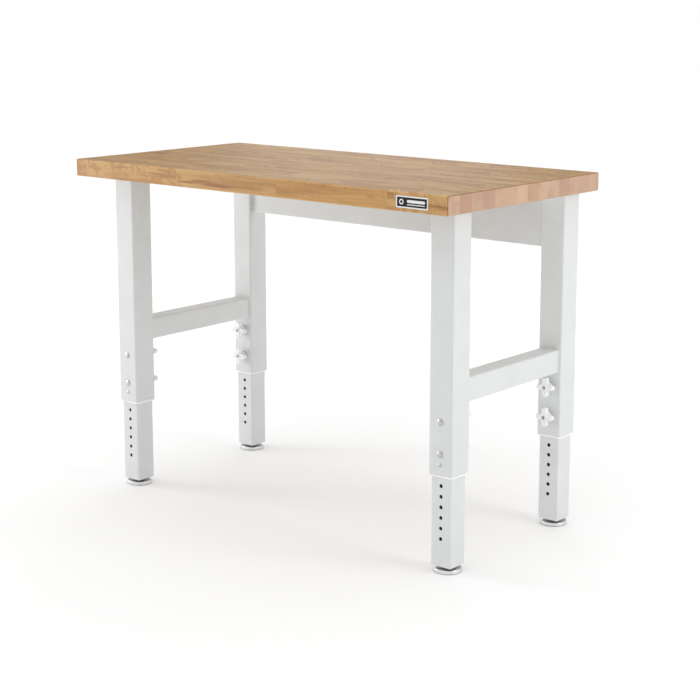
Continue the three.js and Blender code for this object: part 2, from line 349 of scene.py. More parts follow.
class Graph:
    """A material's nodes. Each call adds one node and returns its output socket."""

    def __init__(self, name):
        self.material = bpy.data.materials.new(name)
        self.material.use_nodes = True
        self.nodes = self.material.node_tree.nodes
        self.links = self.material.node_tree.links
        self.shader = self.nodes["Principled BSDF"]

    def add(self, kind, output, inputs, **settings):
        node = self.nodes.new(kind)
        for key, value in settings.items():
            setattr(node, key, value)
        for key, value in inputs.items():
            if isinstance(value, bpy.types.NodeSocket):
                self.links.new(value, node.inputs[key])
            else:
                node.inputs[key].default_value = value
        return node.outputs[output]

    def feed(self, name, value):
        """Links a socket to the shader, or sets the shader's own value."""
        if isinstance(value, bpy.types.NodeSocket):
            self.links.new(value, self.shader.inputs[name])
        else:
            self.shader.inputs[name].default_value = value

    def coordinates(self, kind="Object"):
        return self.add("ShaderNodeTexCoord", kind, {})

    def separate(self, vector):
        node = self.nodes.new("ShaderNodeSeparateXYZ")
        self.links.new(vector, node.inputs[0])
        return node.outputs

    def combine(self, x, y, z):
        return self.add("ShaderNodeCombineXYZ", 0, {0: x, 1: y, 2: z})

    def vector(self, operation, one, other):
        return self.add("ShaderNodeVectorMath", 0, {0: one, 1: other}, operation=operation)

    def math(self, operation, one, other=0.0):
        return self.add("ShaderNodeMath", 0, {0: one, 1: other}, operation=operation)

    def hypotenuse(self, one, other):
        squares = [self.math("POWER", side, 2.0) for side in (one, other)]
        return self.math("SQRT", self.math("ADD", *squares))

    def random(self, vector, output="Value"):
        return self.add("ShaderNodeTexWhiteNoise", output, {"Vector": vector}, noise_dimensions="3D")

    def noise(self, vector, scale, detail=2.0, roughness=0.5, distortion=0.0):
        return self.add("ShaderNodeTexNoise", "Fac", {
            "Vector": vector, "Scale": scale, "Detail": detail, "Roughness": roughness,
            "Distortion": distortion})

    def cells(self, vector, scale):
        return self.add("ShaderNodeTexVoronoi", "Distance", {"Vector": vector, "Scale": scale},
                        feature="SMOOTH_F1")

    def remap(self, value, low, high, to_low=0.0, to_high=1.0, smooth=False):
        return self.add("ShaderNodeMapRange", 0, {
            "Value": value, "From Min": low, "From Max": high, "To Min": to_low, "To Max": to_high},
            interpolation_type="SMOOTHSTEP" if smooth else "LINEAR")

    def mix(self, factor, one, other, blend="MIX"):
        node = self.nodes.new("ShaderNodeMix")
        node.data_type = "RGBA"
        node.blend_type = blend
        for index, value in ((0, factor), (6, one), (7, other)):
            if isinstance(value, bpy.types.NodeSocket):
                self.links.new(value, node.inputs[index])
            else:
                node.inputs[index].default_value = value
        return node.outputs[2]

    def bump(self, height, strength, distance):
        return self.add("ShaderNodeBump", 0, {"Height": height, "Strength": strength, "Distance": distance})


def colour(red, green, blue):
    return (red, green, blue, 1.0)


def board_layout(g, x, y):
    """A seed for the board that a point is in, the point's place across it, and 1 on a glue line.

    The staves lie side by side along Y, and each is made of boards of its own length along X."""
    low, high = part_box("worktop")
    width = (high.y - low.y) / STAVES
    glue = 0.25 * MM
    across = g.math("DIVIDE", g.math("SUBTRACT", y, low.y), width)
    stave = g.math("MINIMUM", g.math("MAXIMUM", g.math("FLOOR", across), 0.0), STAVES - 1.0)
    length = g.remap(g.random(g.combine(stave, 3.3, BOARD_PICK)), 0, 1, 170 * MM, 420 * MM)
    offset = g.math("MULTIPLY", g.random(g.combine(stave, 7.7, BOARD_PICK)), 10.0)
    along = g.math("ADD", g.math("DIVIDE", x, length), offset)
    board = g.math("FLOOR", along)
    place = g.math("MULTIPLY", g.math("SUBTRACT", g.math("SUBTRACT", across, stave), 0.5), width)
    from_side = g.math("SUBTRACT", width / 2, g.math("ABSOLUTE", place))
    from_end = g.math("MULTIPLY", g.math("FRACT", along), length)
    line = g.math("LESS_THAN", g.math("MINIMUM", from_side, from_end), glue)
    return g.combine(stave, board, BOARD_PICK), place, line


def growth_rings(g, point, seed, across, z):
    """Dark latewood lines, 0 to 1, of rings about a pith that lies somewhere beside each board."""
    spread = g.separate(g.random(seed, "Color"))
    angle = g.math("MULTIPLY", spread[0], TURN)
    distance = g.remap(spread[1], 0, 1, 15 * MM, 110 * MM)
    pith_y = g.math("MULTIPLY", g.math("COSINE", angle), distance)
    pith_z = g.math("MULTIPLY", g.math("SINE", angle), distance)
    shifted = g.vector("ADD", point, g.vector("MULTIPLY", seed, (3.1, 1.7, 0.0)))
    wander = g.noise(g.vector("MULTIPLY", shifted, (2.2, 9.0, 9.0)), 1.0, 2.0)
    ripple = g.noise(g.vector("MULTIPLY", shifted, (16.0, 40.0, 40.0)), 1.0, 1.0)
    off_y = g.math("SUBTRACT", across, pith_y)
    off_z = g.math("SUBTRACT", g.math("SUBTRACT", z, middle("worktop").z), pith_z)
    radius = g.hypotenuse(off_y, off_z)
    radius = g.math("ADD", radius, g.math("MULTIPLY", wander, 30 * MM))
    radius = g.math("ADD", radius, g.math("MULTIPLY", ripple, 2.2 * MM))
    ring = g.math("FRACT", g.math("DIVIDE", radius, 4.2 * MM))
    rise = g.remap(ring, 0.35, 0.93, smooth=True)
    fall = g.remap(ring, 0.93, 1.0, 1.0, 0.0)
    return g.math("MULTIPLY", rise, fall)


def grain(g, point, along, aside, detail=2.0):
    """Noise drawn out along X. Along and aside are its frequencies with the grain and across it."""
    return g.noise(g.vector("MULTIPLY", point, (along, aside, aside)), 1.0, detail, 0.55)


def stain(g, surface, amount, low, high, most, shade):
    """Mixes a shade into a surface, by up to most, as amount rises from low to high."""
    return g.mix(g.remap(amount, low, high, 0.0, most, smooth=True), surface, shade)


def flame_figure(g, x, y, z, figured):
    """Wavy figure that leans across the grain, stronger where figured is higher."""
    lean = g.math("ADD", x, g.math("MULTIPLY", g.math("ADD", z, y), 0.55))
    place = g.combine(g.math("MULTIPLY", lean, 34.0), g.math("MULTIPLY", y, 16.0),
                      g.math("MULTIPLY", z, 26.0))
    flame = g.noise(place, 1.0, 3.0, 0.55, 1.8)
    return g.math("MULTIPLY", flame, g.remap(figured, 0.25, 0.75, 0.88, 1.10))


def long_grain(g, point, tone, rings, flame, fibre):
    """The colour of the boards' faces and edges."""
    band = grain(g, point, 3.0, 34.0)
    streak = grain(g, point, 5.0, 70.0)
    wood = g.mix(tone, colour(0.850, 0.495, 0.165), colour(0.950, 0.615, 0.265))
    wood = g.mix(g.math("MULTIPLY", rings, 0.30), wood, colour(0.560, 0.240, 0.060))
    wood = stain(g, wood, flame, 0.50, 0.68, 0.60, colour(0.580, 0.245, 0.055))
    wood = stain(g, wood, band, 0.46, 0.63, 0.72, colour(0.560, 0.270, 0.088))
    wood = stain(g, wood, fibre, 0.35, 0.75, 0.26, colour(0.560, 0.270, 0.085))
    return stain(g, wood, streak, 0.57, 0.72, 0.80, colour(0.360, 0.150, 0.055))


def end_grain(g, point, tone, hue, rings):
    """The colour of the boards' sawn ends."""
    speckle = g.noise(g.vector("MULTIPLY", point, (1.0, 900.0, 900.0)), 1.0, 1.0)
    cloud = g.noise(g.vector("MULTIPLY", point, (1.0, 38.0, 38.0)), 1.0, 2.0)
    wood = g.mix(tone, colour(0.500, 0.300, 0.205), colour(0.670, 0.470, 0.320))
    wood = g.mix(g.remap(hue, 0.55, 1.0, 0.0, 0.65), wood, colour(0.440, 0.295, 0.245))
    wood = g.mix(g.math("MULTIPLY", rings, 0.40), wood, colour(0.430, 0.240, 0.140))
    wood = stain(g, wood, speckle, 0.40, 0.70, 0.22, colour(0.400, 0.220, 0.130))
    return stain(g, wood, cloud, 0.45, 0.72, 0.40, colour(0.430, 0.250, 0.165))


def butcher_block():
    """Maple boards with painted shade darkening the top against paler edges, painted shade darkening and
    greying the underside, and end grain at both ends.
    """
    g = Graph("butcher_block")
    point = g.coordinates()
    x, y, z = g.separate(point)
    seed, across, glue_line = board_layout(g, x, y)
    tone = g.random(seed)
    hue, _, figured = g.separate(g.random(g.vector("ADD", seed, (5.1, 2.3, 0.0)), "Color"))
    rings = growth_rings(g, point, seed, across, z)
    shifted = g.vector("ADD", point, g.vector("MULTIPLY", seed, (0.37, 0.73, 0.0)))
    fibre = grain(g, shifted, 6.0, 300.0, 3.0)
    pores = grain(g, shifted, 60.0, 1800.0, 1.0)

    facing_x, facing_y, facing_z = g.separate(g.coordinates("Normal"))
    diagonal = 0.7              # past this, a surface faces one way more than any other
    is_end = g.math("GREATER_THAN", g.math("ABSOLUTE", facing_x), diagonal)
    top_painted_shade = g.math("GREATER_THAN", facing_z, diagonal)
    underside_painted_shade = g.math("LESS_THAN", facing_z, -diagonal)
    sides = long_grain(g, shifted, tone, rings, flame_figure(g, x, y, z, figured), fibre)
    # Painted shade: surfaces that face up are darkened, because the top takes more of the overhead light
    # than the edges.
    sides = g.mix(top_painted_shade, sides, colour(0.565, 0.560, 0.540), "MULTIPLY")
    # Painted shade: surfaces that face down are darkened and greyed, as the underside lies in shade under
    # the top, which also dims the light they throw onto the apron.
    sides = g.mix(underside_painted_shade, sides, colour(0.520, 0.650, 0.960), "MULTIPLY")
    surface = g.mix(is_end, sides, end_grain(g, point, tone, hue, rings))
    surface = g.mix(g.math("MULTIPLY", glue_line, 0.45), surface, colour(0.200, 0.095, 0.035))
    aside = g.math("MAXIMUM", g.math("ABSOLUTE", facing_y), g.math("MULTIPLY", facing_z, 0.8))
    arris = g.math("MULTIPLY", g.math("ABSOLUTE", facing_x), aside)
    surface = stain(g, surface, arris, 0.15, 0.45, 0.75, colour(0.270, 0.105, 0.032))

    g.feed("Base Color", surface)
    g.feed("Roughness", g.remap(fibre, 0.2, 0.8, 0.42, 0.54))
    g.feed("Specular IOR Level", 0.36)
    height = g.math("ADD", g.math("MULTIPLY", fibre, 0.6), g.math("MULTIPLY", pores, 0.4))
    g.feed("Normal", g.bump(height, 0.16, 0.12 * MM))
    return g.material


def powder_coat():
    """Light grey paint with a fine hammered texture and a faint cloudiness."""
    g = Graph("powder_coat")
    point = g.coordinates()
    cloud = g.noise(point, 14.0, 2.0)
    peel = g.noise(point, 420.0, 2.0, 0.6)
    hammer = g.cells(g.vector("ADD", point, g.vector("MULTIPLY", g.combine(peel, peel, peel),
                                                     (0.8 * MM, 0.8 * MM, 0.8 * MM))), 330.0)
    base = g.mix(g.remap(cloud, 0.3, 0.7), colour(0.718, 0.734, 0.739), colour(0.753, 0.768, 0.772))
    g.feed("Base Color", g.mix(g.remap(peel, 0.35, 0.75, 0.0, 0.16), base, colour(0.640, 0.656, 0.660)))
    g.feed("Roughness", g.remap(peel, 0.3, 0.7, 0.44, 0.56))
    g.feed("Specular IOR Level", 0.4)
    height = g.math("ADD", g.math("MULTIPLY", peel, 0.5), g.math("MULTIPLY", hammer, 0.5))
    g.feed("Normal", g.bump(height, 0.35, 0.25 * MM))
    return g.material


def mill_steel():
    """The unpainted inside of a tube, clouded with scale."""
    g = Graph("mill_steel")
    point = g.coordinates()
    scale = g.noise(point, 60.0, 4.0, 0.6)
    g.feed("Base Color", g.mix(g.remap(scale, 0.35, 0.7), colour(0.420, 0.420, 0.430),
                               colour(0.540, 0.520, 0.500)))
    g.feed("Metallic", 0.3)
    g.feed("Roughness", g.remap(scale, 0.3, 0.7, 0.55, 0.75))
    return g.material


def zinc_plate():
    """Satin zinc with faint tumbling marks."""
    g = Graph("zinc_plate")
    point = g.coordinates()
    cloud = g.noise(point, 90.0, 3.0, 0.6)
    marks = g.noise(g.vector("MULTIPLY", point, (900.0, 260.0, 900.0)), 1.0, 2.0)
    g.feed("Base Color", g.mix(g.remap(cloud, 0.3, 0.7), colour(0.520, 0.528, 0.540),
                               colour(0.620, 0.616, 0.600)))
    g.feed("Metallic", 1.0)
    g.feed("Roughness", g.remap(cloud, 0.3, 0.7, 0.38, 0.50))
    g.feed("Normal", g.bump(marks, 0.2, 0.06 * MM))
    return g.material


def polished_foot():
    """Satin plated steel with fine turning rings about the foot's own axis, and painted shade along its
    lower lip.
    """
    g = Graph("polished_foot")
    x, y, z = g.separate(g.coordinates())
    travel = g.math("ADD", g.hypotenuse(x, y), z)
    wobble = g.noise(g.coordinates(), 40.0, 2.0)
    rings = g.noise(g.combine(g.math("MULTIPLY", travel, 1500.0), wobble, 0.0), 1.0, 2.0)
    plate = g.mix(g.remap(wobble, 0.3, 0.7), colour(0.780, 0.785, 0.785), colour(0.850, 0.850, 0.845))
    # Painted shade: a dark band along the foot's lower lip, where it meets the floor.
    lip = g.remap(z, 1.2 * MM, 2.4 * MM, 0.75, 0.0, smooth=True)
    g.feed("Base Color", g.mix(lip, plate, colour(0.120, 0.120, 0.118)))
    g.feed("Metallic", 1.0)
    g.feed("Roughness", g.remap(rings, 0.3, 0.7, 0.30, 0.42))
    g.feed("Normal", g.bump(rings, 0.25, 0.05 * MM))
    return g.material


def white_plastic():
    """Moulded nylon: white with a fine spark-eroded texture."""
    g = Graph("white_plastic")
    point = g.coordinates()
    spark = g.noise(point, 1600.0, 2.0)
    flow = g.noise(point, 35.0, 2.0)
    g.feed("Base Color", g.mix(g.remap(flow, 0.3, 0.7), colour(0.900, 0.905, 0.905),
                               colour(0.940, 0.945, 0.945)))
    g.feed("Roughness", g.remap(spark, 0.3, 0.7, 0.36, 0.46))
    g.feed("Normal", g.bump(spark, 0.25, 0.05 * MM))
    return g.material


def badge_plastic(name, dark, light):
    """The name plate's plastic, with slight orange peel."""
    g = Graph(name)
    point = g.coordinates()
    peel = g.noise(point, 500.0, 1.0)
    cloud = g.noise(point, 60.0, 2.0)
    g.feed("Base Color", g.mix(g.remap(cloud, 0.3, 0.7), dark, light))
    g.feed("Roughness", g.remap(peel, 0.3, 0.7, 0.34, 0.46))
    g.feed("Specular IOR Level", 0.15)
    g.feed("Normal", g.bump(peel, 0.1, 0.05 * MM))
    return g.material


WOOD = butcher_block()
PAINT = powder_coat()
BARE = mill_steel()
ZINC = zinc_plate()
FOOT = polished_foot()
NYLON = white_plastic()
BADGE_BLACK = badge_plastic("badge_black", colour(0.012, 0.012, 0.013), colour(0.018, 0.018, 0.020))
BADGE_WHITE = badge_plastic("badge_white", colour(0.830, 0.830, 0.825), colour(0.870, 0.870, 0.865))


# ---- The top and its name plate ----

def name_plate_pocket(front):
    """The block that cuts the name plate's shallow pocket out of the top, from its front face."""
    gap = 0.25 * MM
    behind = 0.05 * MM
    low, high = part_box("badge_plate")
    return Shape().block(Vector((low.x - gap, front - 5 * MM, low.z - gap)),
                         Vector((high.x + gap, high.y + behind, high.z + gap)))


def make_worktop():
    low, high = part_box("worktop")
    size = extent("worktop")
    loops = slab_loops(size.x, size.y, low.z, high.z, 3 * MM)
    top = Shape().skin(moved(loops, at(middle("worktop")))).made("butcher_block_top")
    cut(top, name_plate_pocket(low.y))
    finish_piece(top, "frame", [WOOD], ["worktop"])


def make_name_plate():
    """A black plate with a raised white border and a plain emblem: a ring and two bars."""
    size, centre = extent("badge_plate"), middle("badge_plate")
    to_front = Matrix.Rotation(TURN / 4, 4, "X")
    face_out = Matrix.Translation((centre.x, centre.y + size.y / 2, centre.z)) @ to_front
    field = size.y - 0.35 * MM
    root = field - 0.3 * MM
    radius = 2 * MM
    border = 3 * MM
    ease = 0.1 * MM
    raised = size.y - ease
    shape = Shape()

    def place(loops, x=0.0, y=0.0, ring=False, material=1):
        there = face_out @ Matrix.Translation((x, y, 0))
        shape.skin(moved(loops, there), ring=ring, material=material)

    place(box_loops(size.x, size.z, radius, [(ease, 0), (ease, field)]), material=0)
    rim = [(0, root), (0, raised), (ease, size.y), (border - ease, size.y), (border, raised),
           (border, root)]
    place(box_loops(size.x, size.z, radius, rim), ring=True)

    outer, inner = 0.23 * size.z, 0.13 * size.z
    ring = [(outer, root), (outer, raised), (inner, raised), (inner, root)]
    place(round_loops(ring), x=-0.33 * size.x, ring=True)
    for rise, depth in ((0.07 * size.z, 0.24 * size.z), (-0.20 * size.z, 0.07 * size.z)):
        bar = box_loops(0.56 * size.x, depth, 0.4 * depth, [(0, root), (0, raised)])
        place(bar, x=0.125 * size.x, y=rise)
    finish_piece(shape.made("name_plate"), "frame", [BADGE_BLACK, BADGE_WHITE], ["badge_plate"])


# ---- The welded frame ----

RAIL_CORNER = 4 * MM


def make_upper_leg(leg):
    """A tube with round holes in its inner face, and square ones in its outer for the bolts' necks."""
    node = f"upper_leg_{leg}"
    size, centre = extent(node), middle(node)
    low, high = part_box(node)
    corner, wall = 5 * MM, 2.5 * MM
    loops = moved(tube_loops(size.x, size.y, corner, wall, low.z, high.z), at(centre))
    tube = Shape().skin(loops, ring=True, second=TUBE_INSIDE).made(f"leg_tube_{leg}")
    tools = Shape()
    way = inward(leg)
    half_neck_hole = Vector((4.2 * MM, 4 * MM, 4.2 * MM))
    for level in LEVELS:
        z = bolt_height(leg, level)
        tools.drill(centre.x, z, HOLE_RADIUS, centre.y, centre.y + way * size.y)
        spot = Vector((centre.x, leg_face(leg, -1), z))
        tools.block(spot - half_neck_hole, spot + half_neck_hole)
    index_z = middle(f"index_screw_{leg}").z
    tools.drill(centre.x, index_z, HOLE_RADIUS, centre.y - way * size.y, centre.y)
    cut(tube, tools, HOLE_EDGE)
    finish_piece(tube, "frame", [PAINT, BARE], [node])


def make_leg_guide(leg):
    """The bushing in the tube's mouth. Its rim shows as a bright line under the tube."""
    node = f"leg_guide_{leg}"
    size = extent(node)
    low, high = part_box(node)
    corner = 5 * MM
    ease = 0.7 * MM
    spigot = 2.8 * MM
    bore = 4.7 * MM
    rim_top = low.z + 5 * MM
    stations = [(ease, low.z), (0, low.z + ease), (0, rim_top - ease / 2), (ease / 2, rim_top),
                (spigot, rim_top), (spigot, high.z - ease), (spigot + ease / 2, high.z),
                (bore, high.z), (bore, low.z + ease), (bore - ease / 2, low.z)]
    loops = moved(box_loops(size.x, size.y, corner, stations), at(middle(node)))
    guide = Shape().skin(loops, ring=True).made(f"guide_bushing_{leg}")
    finish_piece(guide, "frame", [NYLON], [node])


def make_side_rail(side):
    node = f"side_rail_{side}"
    size, centre = extent(node), middle(node)
    low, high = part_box(node)
    wall = 2 * MM
    along_y = Matrix.Translation((centre.x, 0, centre.z)) @ Matrix.Rotation(-TURN / 4, 4, "X")
    loops = moved(tube_loops(size.x, size.z, RAIL_CORNER, wall, low.y, high.y), along_y)
    rail = Shape().skin(loops, ring=True, second=TUBE_INSIDE).made(f"cross_rail_{side}")
    finish_piece(rail, "frame", [PAINT, BARE], [node])


def even_outline(width, depth, radius, spacing):
    """Points and outward directions spaced evenly round a rounded rectangle."""
    corners = [Vector(point) for point in rounded_rectangle(width, depth, radius)]
    edges = [(corners[i], corners[(i + 1) % len(corners)]) for i in range(len(corners))]
    total = sum((b - a).length for a, b in edges)
    count = round(total / spacing)
    found = []
    walked = 0.0
    for a, b in edges:
        length = (b - a).length
        while len(found) < count and len(found) * total / count <= walked + length:
            along = (len(found) * total / count - walked) / length
            direction = (b - a).normalized()
            found.append((a.lerp(b, along), Vector((direction.y, -direction.x))))
        walked += length
    return found


def make_welds(side):
    """The rippled bead round each end of a side rail, where it meets the legs."""
    node = f"side_rail_{side}"
    size, centre = extent(node), middle(node)
    low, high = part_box(node)
    bead = 2.6 * MM
    ripple = 2.3 * MM
    points_per_ripple = 4
    outline = even_outline(size.x, size.z, RAIL_CORNER, ripple / points_per_ripple)
    # The bead's section in bead widths: how far out from the rail, and how far along it from the leg.
    section = [(-0.4, -0.1), (-0.1, 1.0), (0.35, 0.85), (0.7, 0.5), (0.95, 0.1), (0.9, -0.1)]
    shape = Shape()
    for face, way in ((low.y, 1), (high.y, -1)):
        loops = []
        for out, along in section:
            loop = []
            for index, (point, direction) in enumerate(outline):
                wave = 0.10 * math.sin(TURN * index / points_per_ripple) + 0.08 * math.sin(index * 0.13)
                swell = bead * (1 + wave)
                spot = point + direction * out * swell
                loop.append(Vector((centre.x + spot.x, face + way * along * swell, centre.z + spot.y)))
            loops.append(loop)
        shape.skin(loops, ring=True)
    finish_piece(shape.made(f"rail_welds_{side}"), "frame", [PAINT], sharp=75)


def plate_screw_places(side):
    """The three screw holes along a top plate."""
    node = f"top_plate_{side}"
    centre, size = middle(node), extent(node)
    return [Vector((centre.x, centre.y + share * size.y, centre.z)) for share in (-0.3, 0, 0.3)]


def make_top_plate(side):
    node = f"top_plate_{side}"
    size = extent(node)
    low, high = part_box(node)
    loops = slab_loops(size.x, size.y, low.z, high.z, 0.6 * MM, steps=2)
    plate = Shape().skin(moved(loops, at(middle(node)))).made(f"mounting_bar_{side}")
    hole_radius = 3.5 * MM
    hole = round_loops([(hole_radius, low.z - MM), (hole_radius, high.z + MM)], BORE_POINTS)
    tools = Shape()
    for spot in plate_screw_places(side):
        tools.skin(moved(hole, at(spot)))
    cut(plate, tools)
    finish_piece(plate, "frame", [PAINT], [node])


def hex_screw_loops(across_flats, head, flange, shank, length):
    """Loops of a flanged hexagon screw that points up from its head at z = 0."""
    chamfer = 0.5 * MM
    flange_rise = 1.2 * MM
    point = 2 * MM
    return round_loops([
        (0.42 * across_flats, -head), (hexagon(across_flats - chamfer), -head + chamfer / 3),
        (hexagon(across_flats), -head + chamfer), (hexagon(across_flats), -flange_rise),
        (flange - 0.3 * MM, -1.0 * MM), (flange, -flange_rise / 2), (flange, 0.0),
        (shank, 0.0), (shank, length - point), (0.3 * shank, length)])


def make_top_screws(side):
    """Flanged lag screws that hold the top, driven up through the plate."""
    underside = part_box(f"top_plate_{side}")[0].z
    screw = hex_screw_loops(10 * MM, head=5 * MM, flange=7 * MM, shank=3 * MM, length=34 * MM)
    shape = Shape()
    for number, spot in enumerate(plate_screw_places(side)):
        shape.skin(moved(screw, at(spot, underside, turn=0.4 + number)))
    finish_piece(shape.made(f"top_screws_{side}"), "frame", [ZINC])


APRON_WALL = 1.5 * MM


def apron_line(inset, radius, steps=5):
    """The Y and Z of a line round the apron's section, from the lower flange to the upper one."""
    low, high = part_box("rear_apron")
    front, bottom, top = low.y + inset, low.z + inset, high.z - inset
    points = [(high.y, bottom)]
    for start, centre_z in ((0.75, bottom + radius), (0.5, top - radius)):
        for step in range(steps + 1):
            angle = TURN * (start - 0.25 * step / steps)
            y = front + radius + radius * math.cos(angle)
            points.append((y, centre_z + radius * math.sin(angle)))
    points.append((high.y, top))
    return points


def make_rear_apron():
    """Bent sheet steel: a web with a flange turned back along its top and bottom edges."""
    low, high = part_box("rear_apron")
    bend = 3.0 * MM
    outline = apron_line(0.0, bend) + apron_line(APRON_WALL, bend - APRON_WALL)[::-1]
    ends = [[Vector((x, y, z)) for y, z in outline] for x in (low.x, high.x)]
    apron = Shape().skin(ends).made("back_panel")
    round_edges(apron, 0.25 * MM, 60)
    apply_modifiers(apron)
    finish_piece(apron, "frame", [PAINT], ["rear_apron"])


def make_apron_screws():
    """Small flanged screws up through the apron's top flange into the top."""
    low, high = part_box("rear_apron")
    flange_middle = (low.y + high.y) / 2 + 2 * MM
    screw = hex_screw_loops(7 * MM, head=4 * MM, flange=5.2 * MM, shank=2 * MM, length=20 * MM)
    shape = Shape()
    for share in (0.06, 0.35, 0.65, 0.94):
        spot = Vector((low.x + share * (high.x - low.x), flange_middle, 0))
        shape.skin(moved(screw, at(spot, high.z - APRON_WALL, turn=9 * share)))
    finish_piece(shape.made("apron_screws"), "frame", [ZINC])


# ---- Bolts, washers and knobs ----

def domed_head(radius, height, rim, ease, steps=8):
    """Loops of a domed head, from its crown at z = -height over a straight rim to its seat at z = 0."""
    rise = height - rim
    sphere = (radius ** 2 + rise ** 2) / (2 * rise)
    whole = math.asin(radius / sphere)
    crown = 0.35                # the flat in the middle of the dome, in steps
    stations = []
    for step in range(steps):
        angle = whole * (step + crown) / (steps - 1 + crown)
        stations.append((sphere * math.sin(angle), sphere * (1 - math.cos(angle)) - height))
    return round_loops(stations + [(radius, -ease), (radius - ease, 0)])


def make_carriage_bolt(leg, level):
    """A domed head, a square neck in the tube's wall, a plain shaft and a thread at its end."""
    node = f"carriage_bolt_{leg}_{level}"
    face = leg_face(leg, -1)
    start, end = reach(node, leg, face)
    neck, neck_end = square(8 * MM), 3.4 * MM
    shaft, shaft_start = 4 * MM, 4.2 * MM
    pitch = 1.25 * MM
    thread_start = 48 * MM
    point = 0.9 * MM
    loops = domed_head(extent(node).x / 2, height=-start, rim=0.8 * MM, ease=0.2 * MM)
    loops += round_loops([(neck, 0), (neck, neck_end), (shaft, shaft_start)])
    loops.append(round_loop(shaft, thread_start - 0.5 * MM))
    loops += thread_loops(shaft, pitch, thread_start, end - point)
    loops.append(round_loop(shaft - point, end))
    bolt = Shape().skin(loops).made(f"coach_bolt_{leg}_{level}")
    stand_at(bolt, leg, face, bolt_height(leg, level))
    finish_piece(bolt, "frame", [ZINC], [node])


def make_index_screw(leg):
    node = f"index_screw_{leg}"
    face = leg_face(leg, -1)
    start, end = reach(node, leg, face)
    shaft = 4 * MM
    point = 0.6 * MM
    loops = domed_head(extent(node).x / 2, height=-start, rim=0.4 * MM, ease=0.1 * MM)
    loops += round_loops([(shaft, 0), (shaft, end - point), (shaft - point, end)])
    screw = Shape().skin(loops).made(f"locating_screw_{leg}")
    stand_at(screw, leg, face, middle(node).z)
    finish_piece(screw, "frame", [ZINC], [node])


def make_washer(leg, level):
    node = f"washer_{leg}_{level}"
    face = leg_face(leg, 1)
    start, end = reach(node, leg, face)
    outer = extent(node).x / 2
    ease = 0.25 * MM
    stations = [(outer - ease, start), (outer, start + ease), (outer, end - ease), (outer - ease, end),
                (HOLE_RADIUS + ease, end), (HOLE_RADIUS, end - ease), (HOLE_RADIUS, start + ease),
                (HOLE_RADIUS + ease, start)]
    disc = Shape().skin(round_loops(stations), ring=True).made(f"flat_washer_{leg}_{level}")
    stand_at(disc, leg, face, middle(node).z)
    finish_piece(disc, f"washer_{leg}_{level}", [ZINC], [node])


def lobed(span, lobe_width, boss, inset):
    """The radius, by angle, of a cross of round-ended bars blended with a round boss."""
    half = lobe_width / 2 - inset
    arm = span / 2 - lobe_width / 2

    def bar(angle):
        along, aside = abs(math.cos(angle)), abs(math.sin(angle))
        if aside > 1e-6 and half * along / aside < arm:
            return half / aside
        return arm * along + math.sqrt(max(half ** 2 - (arm * aside) ** 2, 0.0))

    def radius(angle):
        blend = 9
        parts = (bar(angle), bar(angle + TURN / 4), boss - inset)
        return sum(part ** blend for part in parts) ** (1 / blend)

    return radius


def make_knob(leg, level):
    """A moulded cross knob: boss, four rounded lobes, a raised hub and a bore right through."""
    node = f"knob_{leg}_{level}"
    face = leg_face(leg, 1)
    start, end = reach(node, leg, face)
    span = extent(node).x
    boss, hub, bore = 12.4 * MM, 8.6 * MM, 4.5 * MM
    lobe_width, lobe_height = 14 * MM, 13 * MM
    lobe_top = end - 2 * MM
    lobe_bottom = lobe_top - lobe_height
    top_edge = 2.6 * MM
    low_edge = 0.6 * top_edge
    ease = 0.5 * MM
    mouth = 0.6 * MM            # the chamfer of the bore's mouth

    def lobes_at(inset, z):
        return round_loop(lobed(span, lobe_width, boss - 0.8 * MM, inset), z, KNOB_POINTS)

    loops = round_loops([(bore + mouth, start), (boss - ease, start), (boss, start + ease),
                         (boss - 0.2 * MM, lobe_bottom - 0.6 * MM)], KNOB_POINTS)
    for turn in quarter_turns(4):
        rise = low_edge * (1 - math.cos(turn))
        loops.append(lobes_at(low_edge * (1 - math.sin(turn)), lobe_bottom + rise))
    for turn in quarter_turns(6):
        fall = top_edge * (1 - math.sin(turn))
        loops.append(lobes_at(top_edge * (1 - math.cos(turn)), lobe_top - fall))
    loops += round_loops([(hub + 1.2 * MM, lobe_top + 0.05 * MM), (hub + 0.4 * MM, lobe_top + 0.5 * MM),
                          (hub, end - ease), (hub - ease, end), (bore + 0.7 * MM, end),
                          (bore, end - 0.7 * MM), (bore, start + mouth)], KNOB_POINTS)
    grip = Shape().skin(loops, ring=True).made(f"cross_knob_{leg}_{level}")
    stand_at(grip, leg, face, middle(node).z)
    finish_piece(grip, f"knob_{leg}_{level}", [NYLON], [node])


# ---- Lower legs and feet ----

def make_lower_leg(leg):
    """A tube with a column of holes right through it, one pitch apart from its top end down."""
    node = f"lower_leg_{leg}"
    size, centre = extent(node), middle(node)
    low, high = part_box(node)
    corner, wall = 4 * MM, 2 * MM
    loops = moved(tube_loops(size.x, size.y, corner, wall, low.z, high.z), at(centre))
    tube = Shape().skin(loops, ring=True, second=TUBE_INSIDE).made(f"sliding_leg_{leg}")
    tools = Shape()
    for hole in range(HOLES_IN_LOWER_LEG):
        z = high.z - (hole + 1) * HOLE_PITCH
        tools.drill(centre.x, z, HOLE_RADIUS, centre.y - size.y, centre.y + size.y)
    cut(tube, tools, HOLE_EDGE)
    finish_piece(tube, f"leg_{leg}", [PAINT, BARE], [node])


def make_foot_insert(leg):
    """The plug in the lower tube's end, bored for the stud."""
    node = f"foot_insert_{leg}"
    size = extent(node)
    low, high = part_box(node)
    here = at(middle(node))
    bore = 5.5 * MM
    slab = slab_loops(size.x, size.y, low.z, high.z, 2 * MM, steps=2)
    plug = Shape().skin(moved(slab, here)).made(f"leg_plug_{leg}")
    hole = round_loops([(bore, low.z - MM), (bore, high.z + MM)], BORE_POINTS)
    cut(plug, Shape().skin(moved(hole, here)), edge=0.6 * MM)
    finish_piece(plug, f"leg_{leg}", [ZINC], [node])


